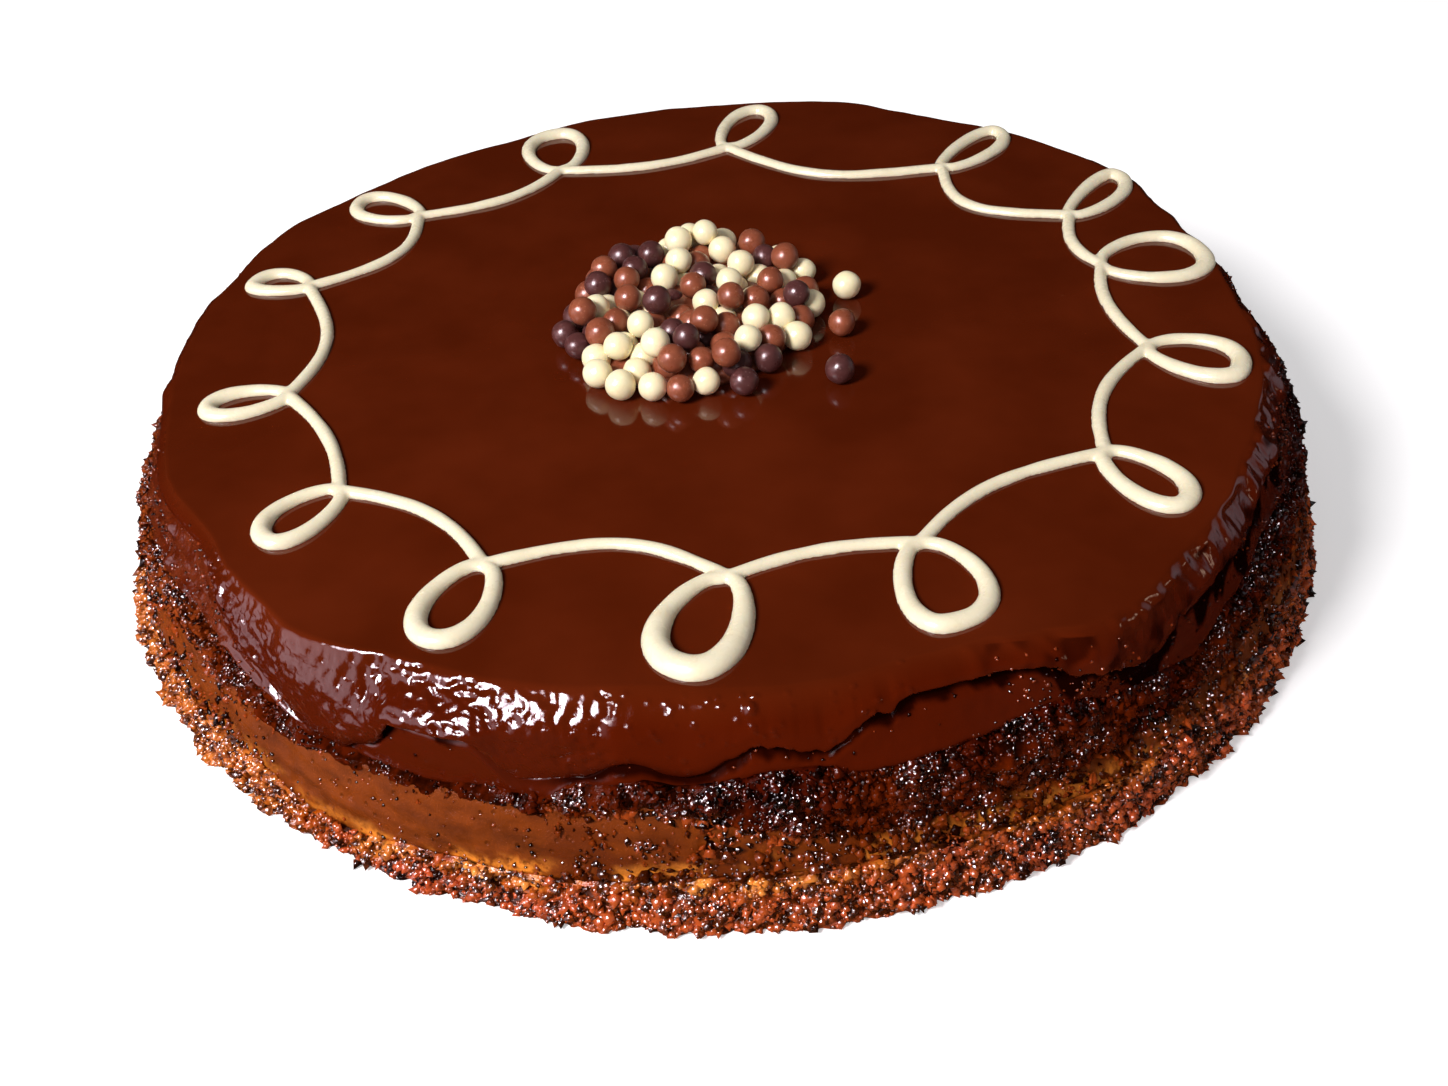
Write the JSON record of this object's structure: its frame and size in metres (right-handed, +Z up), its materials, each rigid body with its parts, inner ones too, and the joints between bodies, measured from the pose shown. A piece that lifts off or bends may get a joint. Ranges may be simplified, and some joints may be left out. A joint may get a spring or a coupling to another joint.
{
  "type": "chocolate cake",
  "caption": "Round chocolate layer cake with a glossy poured glaze, a piped white garland of loops round the top and a small heap of chocolate pearls in the middle.",
  "frame": {"origin": "middle of the flat underside, where the cake stands", "axes": "+Z up, -Y towards the front of the cake, +X towards the side where the top is highest"},
  "size_m": [0.2608, 0.2604, 0.0533],
  "materials": {
    "sponge": "moist crumb",
    "mousse": "dull, smooth smears",
    "glaze": "glossy",
    "white_chocolate": "satin",
    "milk_chocolate": "satin",
    "dark_chocolate": "satin"
  },
  "bodies": {
    "root": {"base_sponge": "sponge", "mousse": "mousse", "top_sponge": "sponge", "glaze": "glaze", "piped_garland": "white_chocolate", "pearl_heap": "milk_chocolate", "loose_pearl_1": "white_chocolate", "loose_pearl_2": "milk_chocolate", "loose_pearl_3": "dark_chocolate"}
  },
  "joints": []
}
